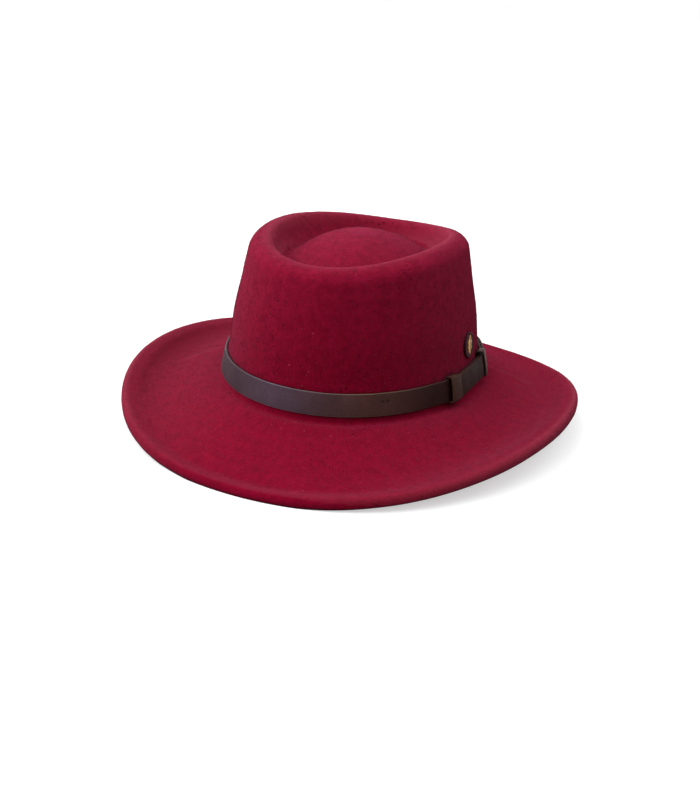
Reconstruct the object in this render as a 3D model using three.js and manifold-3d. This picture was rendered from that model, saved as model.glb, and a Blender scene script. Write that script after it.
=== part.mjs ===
// Gambler hat: a felt crown and dipped brim, a leather strap with two keepers, and a round pin badge.
// Millimetres, +Z up, the hat's front at -Y and the wearer's left at +X. The hat is drawn with the crown's
// foot at height 0, then tipped and lifted until the brim's front and back edges rest on Z = 0.

import * as THREE from "three";
import { mergeVertices } from "three/addons/utils/BufferGeometryUtils.js";
import Module from "manifold-3d";

const wasm = await Module();
wasm.setup();

// Felt: thickness, facets round the hat, and how far the edge is pressed flat where it rests.
const FELT = 2.2;
const AROUND = 60;
const PRESSED = 0.8;

// Ovals that the felt runs through. Half sizes and heights in mm; shift moves an oval to the back;
// power 2 is an ellipse and more is squarer. Heights vary round the hat: backRise lifts the back and
// lowers the front, sideRise lifts both sides and lowers both ends, frontDip and cornerRise finish the edge.
const RINGS = {
  dome: { halfWidth: 41, halfLength: 57, shift: -1.8, power: 2, height: 76.2, backRise: 0.9, sideRise: 1.6 },
  crest: { halfWidth: 57.6, halfLength: 74.5, shift: -2.2, power: 2.05, height: 88.6, backRise: 2.1, sideRise: 3.9 },
  foot: { halfWidth: 86.6, halfLength: 103.2, shift: 0, power: 2.03, height: 0, backRise: 0, sideRise: 0.9 },
  edge: { halfWidth: 151.1, halfLength: 161.7, shift: 0.7, power: 2.09, height: -16.3, backRise: 3.4,
    sideRise: 9.5, frontDip: 1.1, cornerRise: 0.9 },
};

// Crown: the height of the dome's top, and the radius of the crown's outer top edge.
const DOME_TOP = 92;
const RIM_RADIUS = 12.2;

// Dome sections: share of the dome oval's size.
const DOME_SECTIONS = [0.3, 0.6, 0.85, 1];

// Gutter sections between dome and crest: share of the way across, share of the climb, and extra depth.
const GUTTER_SECTIONS = [
  { across: 0.25, climb: 0, sink: 1.6 },
  { across: 0.5, climb: 0.24, sink: 0.6 },
  { across: 0.7, climb: 0.68, sink: 0 },
  { across: 0.86, climb: 0.95, sink: 0 },
];

// Sections of the crown's top edge: degrees left until its outer side is upright.
const RIM_SECTIONS = [90, 60, 30, 0];

// Crown wall sections: share of the climb from the crown's foot to the top edge. The strap draws the felt
// in by the tuck's depth up to its low share, and less and less up to its high share.
const WALL_SECTIONS = [0.75, 0.55, 0.44, 0.36, 0.29, 0.24, 0.2, 0];
const TUCK = { deep: 1.9, low: 0.2, high: 0.55 };

// Bend from wall to brim, from the foot oval: outward and upward steps.
const BEND_SECTIONS = [
  { out: -1.4, up: -3 },
  { out: -0.9, up: -4.5 },
  { out: 0.5, up: -5.5 },
  { out: 3, up: -6 },
];

// Brim sections: share of the way from the bend to the lip. The brim sags between them, most at the sides,
// and deepest two thirds of the way out.
const BRIM_SECTIONS = [0.15, 0.35, 0.55, 0.75, 0.9];
const BRIM_SAG = 3.4;
const BRIM_SIDE_SAG = 3.2;
const SAG_PEAK = 27 / 4;

// Turned-down lip, from the edge oval: outward and upward steps, and how much lower it is dished at the sides.
const LIP_SECTIONS = [
  { out: -9, up: -0.1, dish: 0.8 },
  { out: -5.5, up: 0.2, dish: 0.3 },
  { out: -2.7, up: 0.45, dish: 0 },
  { out: -0.8, up: 0.25, dish: 0 },
  { out: 0.4, up: -1, dish: 0 },
  { out: 1.1, up: -3.2, dish: 0 },
  { out: 1, up: -5.6, dish: 0 },
];

// Space left between pieces that touch.
const GAP = 0.3;

// Strap: thickness and height of the leather, rounding of its edges, how far up the wall it starts, as a
// share of the wall (below 0 is under the foot), and its facets along the way round.
const STRAP = { thick: 1.4, tall: 14.1, edge: 0.4, low: -0.016, steps: 96 };
// Lap of the strap, in degrees round the hat from the wearer's left: the tail's free end, the end of the
// layer under it, and how far the strap takes to come back to the felt.
const LAP = { tail: -17, under: 33, slack: 1, slope: 14 };
// Lift of the strap, in mm, and the degrees where it begins, is reached, is left and ends.
const LIFT = { amount: 1.6, from: -22, to: 8, hold: 110, end: 250 };

// Keepers: leather thickness, width along the strap at the foot and at the top, and room round the strap.
// The strap stands off the felt by a keeper's back, and eases down over some degrees beside it. Each
// keeper is placed by the angle of its rear edge.
const KEEPER = { thick: 1, foot: 11.2, top: 10.8, room: 0.25, ease: 9 };
const KEEPER_ANGLES = { keeper_front: -14.4, keeper_rear: 15.8 };

// Badge: radius and floor of the plate, rim, enamel, leaf, post, and the disc inside the crown.
const BADGE = { angle: -0.6, height: 27.8, radius: 8.3, floor: 0.5, rimWide: 0.8, rimTop: 1.5, sides: 32 };
const ENAMEL = { low: 0.8, top: 1.2 };
const LEAF = { long: 13.2, wide: 7, top: 1.7, lean: -8 };
const POST = { radius: 0.6, hole: 1, discRadius: 4, discThick: 0.8 };

const COLOURS = { felt: 0x8b1230, leather: 0x4a3b3a, brass: 0xb08a4c, enamel: 0x2e1f2e };

const FULL_TURN = 360;
const WELD = 1e-4;
const degrees = THREE.MathUtils.degToRad;
const mix = THREE.MathUtils.lerp;

function ringHeight(ring, angle) {
  const { height, backRise, sideRise, frontDip = 0, cornerRise = 0 } = ring;
  return height + backRise * Math.sin(angle) + sideRise * Math.cos(2 * angle)
    - frontDip * Math.sin(3 * angle) + cornerRise * Math.cos(4 * angle);
}

// A point of an oval, grown outward and lifted.
function ringPoint(ring, angle, out = 0, up = 0) {
  const bend = (value) => Math.sign(value) * Math.abs(value) ** (2 / ring.power);
  const x = (ring.halfWidth + out) * bend(Math.cos(angle));
  const y = (ring.halfLength + out) * bend(Math.sin(angle)) + ring.shift;
  return new THREE.Vector3(x, y, ringHeight(ring, angle) + up);
}

function domePoint(share, angle) {
  const centre = new THREE.Vector3(0, RINGS.dome.shift, 0);
  const point = centre.lerp(ringPoint(RINGS.dome, angle), share);
  point.z = DOME_TOP + (ringHeight(RINGS.dome, angle) - DOME_TOP) * share ** 2;
  return point;
}

function gutterPoint({ across, climb, sink }, angle) {
  const dome = ringPoint(RINGS.dome, angle);
  const crest = ringPoint(RINGS.crest, angle);
  const point = dome.clone().lerp(crest, across);
  point.z = mix(dome.z, crest.z, climb) - sink;
  return point;
}

function rimPoint(lean, angle) {
  const out = RIM_RADIUS * Math.cos(degrees(lean));
  const up = RIM_RADIUS * (Math.sin(degrees(lean)) - 1);
  return ringPoint(RINGS.crest, angle, out, up);
}

function tuckAt(climb) {
  return TUCK.deep * (1 - THREE.MathUtils.smoothstep(climb, TUCK.low, TUCK.high));
}

// A point of the crown's wall, drawn in by the tuck.
function wallPoint(climb, angle, tuck = tuckAt(climb)) {
  const low = ringPoint(RINGS.foot, angle, -tuck);
  const high = ringPoint(RINGS.crest, angle, RIM_RADIUS - tuck, -RIM_RADIUS);
  return low.lerp(high, climb);
}

function lipPoint({ out, up, dish }, angle) {
  return ringPoint(RINGS.edge, angle, out, up - dish * Math.cos(angle) ** 2);
}

function brimPoint(share, angle) {
  const bend = BEND_SECTIONS.at(-1);
  const inner = ringPoint(RINGS.foot, angle, bend.out, bend.up);
  const outer = lipPoint(LIP_SECTIONS[0], angle);
  const sag = BRIM_SAG + BRIM_SIDE_SAG * Math.cos(2 * angle);
  const point = inner.lerp(outer, share);
  point.z -= sag * SAG_PEAK * share ** 2 * (1 - share);
  return point;
}

// Sections of the felt's outer face, from the dome to the lip, each a function of the angle round the hat.
function feltSections() {
  return [
    ...DOME_SECTIONS.map((share) => (angle) => domePoint(share, angle)),
    ...GUTTER_SECTIONS.map((section) => (angle) => gutterPoint(section, angle)),
    ...RIM_SECTIONS.map((lean) => (angle) => rimPoint(lean, angle)),
    ...WALL_SECTIONS.map((climb) => (angle) => wallPoint(climb, angle)),
    ...BEND_SECTIONS.map(({ out, up }) => (angle) => ringPoint(RINGS.foot, angle, out, up)),
    ...BRIM_SECTIONS.map((share) => (angle) => brimPoint(share, angle)),
    ...LIP_SECTIONS.map((section) => (angle) => lipPoint(section, angle)),
  ];
}

// A closed body through loops of points. Its ends are fans about the two centres, or without centres the
// last loop joins the first.
function loopBody(loops, centres = null) {
  const count = loops[0].length;
  const points = loops.flat();
  const faces = [];
  const joins = centres ? loops.length - 1 : loops.length;
  for (let row = 0; row < joins; row += 1) {
    const here = row * count;
    const there = ((row + 1) % loops.length) * count;
    for (let i = 0; i < count; i += 1) {
      const next = (i + 1) % count;
      faces.push(here + i, there + i, there + next);
      faces.push(here + i, there + next, here + next);
    }
  }
  if (centres) {
    const first = points.length;
    const end = first - count;
    points.push(...centres);
    for (let i = 0; i < count; i += 1) {
      const next = (i + 1) % count;
      faces.push(first, i, next);
      faces.push(first + 1, end + next, end + i);
    }
  }
  const geometry = new THREE.BufferGeometry().setFromPoints(points);
  geometry.setIndex(faces);
  return geometry;
}

// The felt's inner face lies one thickness under the outer one, square to it.
function innerLoops(loops, apex) {
  return loops.map((loop, row) => loop.map((point, i) => {
    const before = row > 0 ? loops[row - 1][i] : apex;
    const after = loops[Math.min(row + 1, loops.length - 1)][i];
    const along = after.clone().sub(before);
    const round = loop[(i + 1) % AROUND].clone().sub(loop[(i + AROUND - 1) % AROUND]);
    const normal = along.cross(round).normalize();
    return point.clone().addScaledVector(normal, -FELT);
  }));
}

function feltGeometry() {
  const angles = Array.from({ length: AROUND }, (_, i) => degrees(i * FULL_TURN / AROUND));
  const outer = feltSections().map((section) => angles.map(section));
  const apex = new THREE.Vector3(0, RINGS.dome.shift, DOME_TOP);
  const inner = innerLoops(outer, apex).reverse();
  const innerApex = apex.clone().setZ(DOME_TOP - FELT);
  return loopBody([...outer, ...inner], [apex, innerApex]);
}

// Directions at a place on the crown's wall: along the strap, up the wall and out of it.
function wallFrame(climb, angle, tuck) {
  const step = degrees(0.5);
  const rise = 0.02;
  const origin = wallPoint(climb, angle, tuck);
  const along = wallPoint(climb, angle + step, tuck).sub(wallPoint(climb, angle - step, tuck)).normalize();
  const up = wallPoint(climb + rise, angle, tuck).sub(origin).normalize();
  const out = along.clone().cross(up).normalize();
  return { origin, along, up, out };
}

// Height that the strap gains on its way to the wearer's left side and loses again at the back.
function strapLift(turn) {
  const { amount, from, to, hold, end } = LIFT;
  const place = THREE.MathUtils.euclideanModulo(turn - from, FULL_TURN) + from;
  const gain = THREE.MathUtils.smoothstep(place, from, to);
  return amount * gain * (1 - THREE.MathUtils.smoothstep(place, hold, end));
}

function strapFrame(turn) {
  const frame = wallFrame(STRAP.low, degrees(turn), TUCK.deep);
  frame.origin.addScaledVector(frame.up, strapLift(turn));
  return frame;
}

function placeOn(frame, up, out) {
  return frame.origin.clone().addScaledVector(frame.up, up).addScaledVector(frame.out, out);
}

// Turn round the hat, in degrees, that a length along a keeper takes up.
function keeperTurn(length) {
  return THREE.MathUtils.radToDeg(length / RINGS.foot.halfLength);
}

// How far the strap's inner layer stands off the felt: the gap, and at a keeper the keeper's back too.
function standOff(turn) {
  const half = keeperTurn(KEEPER.top / 2);
  const away = Object.values(KEEPER_ANGLES).map((rear) => {
    const apart = Math.abs(turn - rear + half) % FULL_TURN;
    return Math.min(apart, FULL_TURN - apart);
  });
  const beside = Math.min(...away) - half;
  const ease = 1 - THREE.MathUtils.smoothstep(beside, 0, KEEPER.ease);
  return GAP + ease * (KEEPER.thick + KEEPER.room);
}

// One pass round the hat from the tail's free end, on top of the lap, to the end that lies under it.
function strapGeometry() {
  const { thick, tall, edge } = STRAP;
  const outline = [
    [edge, 0], [thick - edge, 0], [thick, edge], [thick, tall - edge],
    [thick - edge, tall], [edge, tall], [0, tall - edge], [0, edge],
  ];
  const sweep = FULL_TURN + LAP.under - LAP.tail;
  const loops = Array.from({ length: STRAP.steps + 1 }, (_, i) => {
    const turn = LAP.tail + sweep * i / STRAP.steps;
    const past = LAP.under + LAP.slack;
    const lapped = 1 - THREE.MathUtils.smoothstep(turn, past, past + LAP.slope);
    const off = standOff(turn) + lapped * (thick + KEEPER.room);
    const frame = strapFrame(turn);
    return outline.map(([out, up]) => placeOn(frame, up, off + out));
  });
  const middle = (loop) => loop.reduce((sum, point) => sum.add(point), new THREE.Vector3())
    .divideScalar(loop.length);
  return loopBody(loops, [middle(loops[0]), middle(loops.at(-1))]);
}

// A leather loop round both layers of the strap, wider at its top than at its foot.
function keeperGeometry(rear) {
  const inside = { low: -KEEPER.room, high: STRAP.tall + KEEPER.room, near: GAP + KEEPER.thick };
  inside.far = inside.near + 2 * STRAP.thick + 3 * KEEPER.room;
  const path = [
    [inside.near, inside.low], [inside.far, inside.low], [inside.far, inside.high], [inside.near, inside.high],
  ];
  const spread = [[-1, -1], [1, -1], [1, 1], [-1, 1]];
  const columns = [1, 0.5, 0];
  const loops = path.map(([out, up], corner) => {
    const [sideways, upward] = spread[corner];
    const wide = keeperTurn(mix(KEEPER.foot, KEEPER.top, up / STRAP.tall));
    const ring = (grow) => columns.map((column) => {
      const frame = strapFrame(rear - wide * column);
      return placeOn(frame, up + upward * grow, out + sideways * grow);
    });
    return [...ring(0), ...ring(KEEPER.thick).reverse()];
  });
  return loopBody(loops);
}

// The badge's own directions: x along the strap, y up the wall, z out of the felt.
function badgeMatrix() {
  const share = (BADGE.height - ringHeight(RINGS.foot, 0)) / (ringHeight(RINGS.crest, 0) - RIM_RADIUS);
  const frame = wallFrame(share, degrees(BADGE.angle));
  const matrix = new THREE.Matrix4().makeBasis(frame.along, frame.up, frame.out);
  return matrix.setPosition(frame.origin);
}

// A turned body about the badge's z axis, from a profile of [radius, height] that starts and ends on it.
function turned(profile) {
  const points = profile.map(([radius, height]) => new THREE.Vector2(radius, height));
  return new THREE.LatheGeometry(points, BADGE.sides).rotateX(Math.PI / 2);
}

function leafGeometry(grow, low, high) {
  const half = LEAF.long / 2 + grow;
  const side = LEAF.wide + 2 * grow;
  const shape = new THREE.Shape();
  shape.moveTo(0, -half);
  shape.quadraticCurveTo(side, 0, 0, half);
  shape.quadraticCurveTo(-side, 0, 0, -half);
  const leaf = new THREE.ExtrudeGeometry(shape, { depth: high - low, bevelEnabled: false, curveSegments: 8 });
  return leaf.rotateZ(degrees(LEAF.lean)).translate(0, 0, low);
}

function solid(geometry) {
  const bare = geometry.clone();
  bare.deleteAttribute("normal");
  bare.deleteAttribute("uv");
  const merged = mergeVertices(bare, WELD);
  return new wasm.Manifold(new wasm.Mesh({
    numProp: 3,
    vertProperties: new Float32Array(merged.attributes.position.array),
    triVerts: new Uint32Array(merged.index.array),
  }));
}

function fromSolid(body) {
  const mesh = body.getMesh();
  const geometry = new THREE.BufferGeometry();
  geometry.setAttribute("position", new THREE.BufferAttribute(mesh.vertProperties, 3));
  geometry.setIndex(new THREE.BufferAttribute(mesh.triVerts, 1));
  return geometry;
}

// Plate with a raised rim, post through the felt and a disc inside the crown, and the leaf soldered on.
function badgeBaseGeometry() {
  const back = GAP;
  const inside = -FELT - 2 * GAP;
  const { radius, floor, rimWide, rimTop } = BADGE;
  const body = turned([
    [0, inside - POST.discThick], [POST.discRadius, inside - POST.discThick], [POST.discRadius, inside],
    [POST.radius, inside], [POST.radius, back], [radius, back], [radius, rimTop],
    [radius - rimWide, rimTop], [radius - rimWide, back + floor], [0, back + floor],
  ]);
  const leaf = leafGeometry(0, back + floor / 2, back + LEAF.top);
  return fromSolid(solid(body).add(solid(leaf))).applyMatrix4(badgeMatrix());
}

function badgeEnamelGeometry() {
  const radius = BADGE.radius - BADGE.rimWide - GAP;
  const { low, top } = ENAMEL;
  const fill = turned([[0, GAP + low], [radius, GAP + low], [radius, GAP + top], [0, GAP + top]]);
  const opening = leafGeometry(GAP, GAP + low - 1, GAP + top + 1);
  return fromSolid(solid(fill).subtract(solid(opening))).applyMatrix4(badgeMatrix());
}

// The felt with the hole that the badge's post goes through.
function piercedFelt() {
  const reach = 3 * FELT;
  const drill = new THREE.CylinderGeometry(POST.hole, POST.hole, 2 * reach, 12).rotateX(Math.PI / 2);
  return fromSolid(solid(feltGeometry()).subtract(solid(drill.applyMatrix4(badgeMatrix()))));
}

// Tips the hat until the front and back of its lip are level, and centres it over the origin.
function restMatrix(felt) {
  const front = lipPoint(LIP_SECTIONS.at(-1), degrees(-90));
  const back = lipPoint(LIP_SECTIONS.at(-1), degrees(90));
  const tip = new THREE.Matrix4().makeRotationX(-Math.atan2(back.z - front.z, back.y - front.y));
  const box = new THREE.Box3().setFromBufferAttribute(felt.clone().applyMatrix4(tip).attributes.position);
  const middle = box.getCenter(new THREE.Vector3());
  return new THREE.Matrix4().makeTranslation(0, -middle.y, -box.min.z - PRESSED).multiply(tip);
}

// Felt that would reach below the surface is pressed flat on it.
function pressFlat(geometry) {
  const { position } = geometry.attributes;
  for (let i = 0; i < position.count; i += 1) {
    position.setZ(i, Math.max(position.getZ(i), 0));
  }
  return geometry;
}

function piece(name, geometry, colour, roughness, metalness) {
  geometry.computeVertexNormals();
  const mesh = new THREE.Mesh(geometry, new THREE.MeshStandardMaterial({ color: colour, roughness, metalness }));
  mesh.name = name;
  return mesh;
}

function gamblerHat() {
  const felt = piercedFelt();
  const rest = restMatrix(felt);
  const hat = new THREE.Group();
  hat.add(piece("felt_body", pressFlat(felt.applyMatrix4(rest)), COLOURS.felt, 0.95, 0));
  hat.add(piece("hat_band", strapGeometry().applyMatrix4(rest), COLOURS.leather, 0.6, 0));
  for (const [name, rear] of Object.entries(KEEPER_ANGLES)) {
    hat.add(piece(name, keeperGeometry(rear).applyMatrix4(rest), COLOURS.leather, 0.6, 0));
  }
  hat.add(piece("badge_base", badgeBaseGeometry().applyMatrix4(rest), COLOURS.brass, 0.35, 1));
  hat.add(piece("badge_enamel", badgeEnamelGeometry().applyMatrix4(rest), COLOURS.enamel, 0.2, 0));
  return hat;
}

export default gamblerHat();
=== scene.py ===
"""Gambler hat in wine-red felt, dressed on the fixed frame of its solids and set on a pale studio floor."""

import math

import bpy
import numpy as np
from bpy.props import FloatProperty, FloatVectorProperty, IntProperty, PointerProperty
from bpy.types import Operator, Panel, PropertyGroup
from mathutils import Matrix, Vector, noise


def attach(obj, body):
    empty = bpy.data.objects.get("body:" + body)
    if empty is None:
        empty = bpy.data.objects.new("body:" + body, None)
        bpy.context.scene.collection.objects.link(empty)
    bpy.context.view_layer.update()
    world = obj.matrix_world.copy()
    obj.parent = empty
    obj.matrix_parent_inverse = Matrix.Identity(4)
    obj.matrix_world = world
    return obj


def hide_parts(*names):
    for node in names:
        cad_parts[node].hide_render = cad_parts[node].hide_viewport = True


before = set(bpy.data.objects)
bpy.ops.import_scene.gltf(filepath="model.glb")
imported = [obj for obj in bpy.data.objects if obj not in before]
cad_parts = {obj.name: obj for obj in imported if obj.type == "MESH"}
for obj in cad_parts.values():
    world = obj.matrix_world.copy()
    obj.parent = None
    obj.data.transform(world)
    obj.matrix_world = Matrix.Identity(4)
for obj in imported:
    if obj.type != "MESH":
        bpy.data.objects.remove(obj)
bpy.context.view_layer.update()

bl_info = {
    "name": "Gambler hat",
    "version": (1, 0, 0),
    "blender": (4, 5, 0),
    "location": "View3D > Sidebar > Hat",
    "description": "Builds a felt gambler hat with a leather strap, two keepers and a pin badge",
    "category": "Object",
}

# Lengths in the tables are millimetres, as a hat maker writes them. Meshes and lights are in metres.
MM = 0.001
FULL_TURN = 2 * math.pi

# Ovals that the felt runs through: half sizes, shift to the back, power (2 is an ellipse, more is squarer),
# height, and how the height varies round the hat.
RINGS = {
    "dome": dict(wide=41, long=57, shift=-1.8, power=2, height=76.2, back=0.9, side=1.6, dip=0, corner=0),
    "crest": dict(wide=57.6, long=74.5, shift=-2.2, power=2.05, height=88.6, back=2.1, side=3.9, dip=0,
                  corner=0),
    "foot": dict(wide=86.6, long=103.2, shift=0, power=2.03, height=0, back=0, side=0.9, dip=0, corner=0),
    "edge": dict(wide=151.1, long=161.7, shift=0.7, power=2.09, height=-16.3, back=3.4, side=9.5, dip=1.1,
                 corner=0.9),
}
# Dome: height of its middle, and shares of the way out to its oval.
DOME_TOP = 92
DOME_SHARES = (0.12, 0.3, 0.6, 0.85, 1)
# Gutter: share of the way across, share of the climb, extra depth.
GUTTER_SECTIONS = ((0.25, 0, 1.6), (0.5, 0.24, 0.6), (0.7, 0.68, 0), (0.86, 0.95, 0))
# Edge of the crown: how round it is, and its leans in degrees.
RIM_RADIUS = 12.2
RIM_LEANS = (90, 60, 30, 0)
# Wall: shares of the climb, and the tuck where the strap draws the felt in.
WALL_CLIMBS = (0.75, 0.55, 0.44, 0.36, 0.29, 0.24, 0.2, 0)
TUCK = dict(deep=1.9, low=0.2, high=0.55)
# Bend from the wall to the brim: steps outward and upward.
BEND_SECTIONS = ((-1.4, -3), (-0.9, -4.5), (0.5, -5.5), (3, -6))
# Brim: shares of the way out, and its sag all round and at the sides. The sag is deepest two thirds of the
# way out, where share ** 2 * (1 - share) is 4 / 27.
BRIM_SHARES = (0.15, 0.35, 0.55, 0.75, 0.9)
BRIM_SAG = (3.4, 3.2)
SAG_PEAK = 27 / 4
# Turned-down lip: steps outward and upward, and how much lower it lies at the sides.
LIP_SECTIONS = ((-9, -0.1, 0.8), (-5.5, 0.2, 0.3), (-2.7, 0.45, 0), (-0.8, 0.25, 0), (0.4, -1, 0),
                (1.1, -3.2, 0), (1, -5.6, 0))
# How far the felt is pressed flat where the hat rests.
PRESSED = 0.8
# Hand shaping: sizes of the lumps and their shares. The strap holds the felt even between the middle heights.
LUMPS = ((42, 1), (13, 0.3))
HELD_HEIGHTS = (-6, -3, 18, 26)

# The camera of the photograph in the hat's own directions: degrees, millimetres, and focal length in the
# pixels of a frame 700 wide and 800 high. Nothing nearer than the last value, in metres, is seen.
PHOTO_CAMERA = dict(azimuth=22.62, elevation=21.08, distance=715, roll=3.73, aim_right=-1.45, aim_up=-28.77)
FOCAL_PIXELS = 1019.9
LONG_SIDE_PIXELS = 800
SENSOR_MM = 36
NEAREST_SEEN = 0.01

# Soft boxes: degrees to the left of the photograph's right side, degrees above the floor, and the degrees
# that the glow spreads each way.
SOFT_BOXES = {
    "key": (180, 45, 60),
    "cheek": (225, 20, 45),
    "low": (180, 12, 45),
    "top": (0, 90, 60),
    "rim": (110, 12, 45),
    "side": (0, 45, 50),
    "back": (50, 12, 45),
    "bounce": (135, -25, 60),
}
FLOOR_HALF = 12.0
WHITE = (1, 1, 1, 1)


class HatSizes(PropertyGroup):
    """Sizes of the hat that a maker would change"""

    felt: FloatProperty(
        name="Felt thickness", description="Thickness of the felt", default=2.2 * MM, unit="LENGTH")
    rows: FloatProperty(
        name="Felt row", description="Spacing of the felt's rows", default=1.6 * MM, unit="LENGTH")
    fibres: IntProperty(name="Fibres", description="Fibres in each patch of nap", default=31000, min=100)
    around: IntProperty(
        name="Felt facets", description="Facets of the felt round the hat", default=288, min=60)
    unevenness: FloatProperty(
        name="Unevenness", description="How far hand shaping leaves the felt uneven", default=0.3 * MM,
        unit="LENGTH")
    strap_thick: FloatProperty(
        name="Strap thickness", description="Thickness of the strap's leather", default=1.4 * MM,
        unit="LENGTH")
    strap_tall: FloatProperty(
        name="Strap height", description="Height of the strap", default=14.1 * MM, unit="LENGTH")
    keeper_thick: FloatProperty(
        name="Keeper thickness", description="Thickness of the keepers' leather", default=1 * MM,
        unit="LENGTH")
    keeper_foot: FloatProperty(
        name="Keeper foot", description="Width of a keeper at its foot", default=11.2 * MM, unit="LENGTH")
    keeper_top: FloatProperty(
        name="Keeper top", description="Width of a keeper at its top", default=10.8 * MM, unit="LENGTH")
    badge_radius: FloatProperty(
        name="Badge radius", description="Radius of the badge", default=8.3 * MM, unit="LENGTH")


class HatColours(PropertyGroup):
    """Colours of the hat's felt, leather and metal"""

    felt: FloatVectorProperty(
        name="Felt", description="Colour of the felt", subtype="COLOR", default=(0.204, 0.0016, 0.0178))
    felt_sheen: FloatVectorProperty(
        name="Felt sheen", description="Tint of the nap at a low angle", subtype="COLOR",
        default=(1, 0.65, 1))
    fibre_pale: FloatVectorProperty(
        name="Pale fibres", description="Colour of the undyed wool fibres", subtype="COLOR",
        default=(0.3, 0.022, 0.055))
    leather: FloatVectorProperty(
        name="Leather", description="Colour of the strap", subtype="COLOR", default=(0.042, 0.0185, 0.0225))
    leather_keeper: FloatVectorProperty(
        name="Keepers", description="Colour of the keepers", subtype="COLOR", default=(0.092, 0.054, 0.05))
    leather_edge: FloatVectorProperty(
        name="Cut edge", description="Colour of the leather's cut edges", subtype="COLOR",
        default=(0.085, 0.055, 0.055))
    thread: FloatVectorProperty(
        name="Thread", description="Colour of the tack stitches", subtype="COLOR",
        default=(0.022, 0.013, 0.01))
    brass: FloatVectorProperty(
        name="Brass", description="Colour of the badge's metal", subtype="COLOR", default=(0.43, 0.235, 0.08))
    plate: FloatVectorProperty(
        name="Plate", description="Colour of the badge's darkened plate", subtype="COLOR",
        default=(0.05, 0.014, 0.02))
    enamel: FloatVectorProperty(
        name="Enamel", description="Colour of the badge's enamel", subtype="COLOR",
        default=(0.045, 0.009, 0.013))


class StageLook(PropertyGroup):
    """Floor and light of the studio"""

    floor: FloatVectorProperty(
        name="Floor", description="Colour of the floor", subtype="COLOR", default=(0.55, 0.55, 0.55))
    floor_glow: FloatProperty(
        name="Floor glow", description="Light that the floor gives off by itself", default=0.5)
    sky: FloatProperty(name="Sky", description="Strength of the even light from all round", default=0.02)
    key: FloatProperty(name="Key", description="Strength of the soft box at the left", default=2.43)
    cheek: FloatProperty(
        name="Cheek", description="Strength of the low soft box at the front left", default=1.74)
    low: FloatProperty(name="Low", description="Strength of the low soft box at the left", default=0.5)
    top: FloatProperty(name="Top", description="Strength of the soft box overhead", default=0.38)
    rim: FloatProperty(name="Rim", description="Strength of the low soft box at the back", default=2.07)
    side: FloatProperty(name="Side", description="Strength of the soft box at the right", default=2.08)
    back: FloatProperty(
        name="Back", description="Strength of the low soft box at the back right", default=0.23)
    bounce: FloatProperty(
        name="Bounce", description="Strength of the light thrown back from below", default=1.2)


# Shape of the felt


def ring_height(ring, angle):
    """Height of an oval, in mm, which varies round the hat."""
    return (ring["height"] + ring["back"] * np.sin(angle) + ring["side"] * np.cos(2 * angle)
            - ring["dip"] * np.sin(3 * angle) + ring["corner"] * np.cos(4 * angle))


def ring_points(name, angle, out=0.0, up=0.0):
    """Points of an oval at these angles, grown outward and lifted, one row each."""
    ring = RINGS[name]
    cos, sin = np.cos(angle), np.sin(angle)
    power = 2 / ring["power"]
    x = (ring["wide"] + out) * np.sign(cos) * np.abs(cos) ** power
    y = (ring["long"] + out) * np.sign(sin) * np.abs(sin) ** power + ring["shift"]
    return np.stack([x, y, ring_height(ring, angle) + up], axis=-1)


def dome_points(share, angle):
    point = ring_points("dome", angle)
    shift = RINGS["dome"]["shift"]
    point[..., 0] *= share
    point[..., 1] = shift + (point[..., 1] - shift) * share
    point[..., 2] = DOME_TOP + (point[..., 2] - DOME_TOP) * share ** 2
    return point


def gutter_points(across, climb, sink, angle):
    dome, crest = ring_points("dome", angle), ring_points("crest", angle)
    point = dome + (crest - dome) * across
    point[..., 2] = dome[..., 2] + (crest[..., 2] - dome[..., 2]) * climb - sink
    return point


def smooth_step(value, low, high):
    """Goes from 0 at the low value to 1 at the high one, level at both."""
    t = np.clip((value - low) / (high - low), 0, 1)
    return t * t * (3 - 2 * t)


def unit(vectors):
    return vectors / np.linalg.norm(vectors, axis=-1, keepdims=True)


def wall_points(climb, angle, tuck=None):
    if tuck is None:
        tuck = TUCK["deep"] * (1 - smooth_step(climb, TUCK["low"], TUCK["high"]))
    low = ring_points("foot", angle, -tuck)
    high = ring_points("crest", angle, RIM_RADIUS - tuck, -RIM_RADIUS)
    return low + (high - low) * climb


def lip_points(out, up, dish, angle):
    return ring_points("edge", angle, out, up - dish * np.cos(angle) ** 2)


def brim_points(share, angle):
    inner = ring_points("foot", angle, *BEND_SECTIONS[-1])
    outer = lip_points(*LIP_SECTIONS[0], angle)
    even, sides = BRIM_SAG
    point = inner + (outer - inner) * share
    point[..., 2] -= (even + sides * np.cos(2 * angle)) * share ** 2 * (1 - share) * SAG_PEAK
    return point


def felt_sections(angle):
    """The felt's outer face as rows of points, from the dome's middle to the foot of the lip."""
    rows = [dome_points(share, angle) for share in DOME_SHARES]
    rows += [gutter_points(*section, angle) for section in GUTTER_SECTIONS]
    for lean in np.radians(RIM_LEANS):
        out, up = RIM_RADIUS * math.cos(lean), RIM_RADIUS * (math.sin(lean) - 1)
        rows.append(ring_points("crest", angle, out, up))
    rows += [wall_points(climb, angle) for climb in WALL_CLIMBS]
    rows += [ring_points("foot", angle, out, up) for out, up in BEND_SECTIONS]
    rows += [brim_points(share, angle) for share in BRIM_SHARES]
    rows += [lip_points(*section, angle) for section in LIP_SECTIONS]
    return np.array(rows)


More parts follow.
